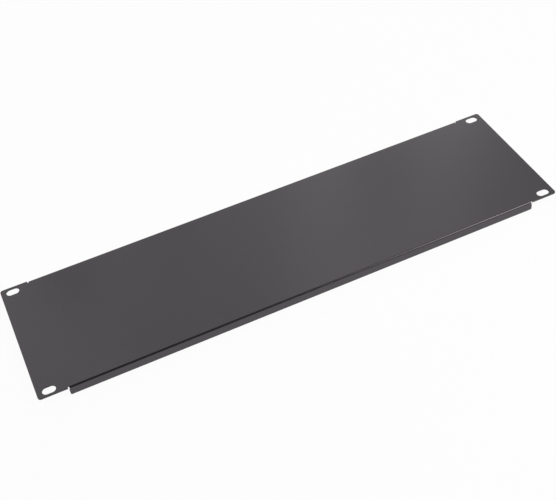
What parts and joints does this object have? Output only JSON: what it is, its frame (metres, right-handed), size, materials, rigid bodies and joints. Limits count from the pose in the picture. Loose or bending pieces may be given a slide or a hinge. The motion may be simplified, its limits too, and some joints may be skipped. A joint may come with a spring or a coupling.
{
  "type": "rack blanking panel",
  "caption": "Long flat sheet-metal cover for unused equipment rack space, with slotted ears at its ends and shallow stiffening flanges folded back along its long edges.",
  "frame": {"origin": "middle of the panel's footprint, on the level of the free edges of its flanges", "axes": "+X along the panel's length, ear to ear; +Y across its height in the rack; +Z out of its front face"},
  "size_m": [0.486, 0.1324, 0.009],
  "materials": {
    "powder_coat": "dark grey powder coat, satin, with a fine even texture"
  },
  "bodies": {
    "root": {"blanking_panel": "powder_coat"}
  },
  "joints": []
}
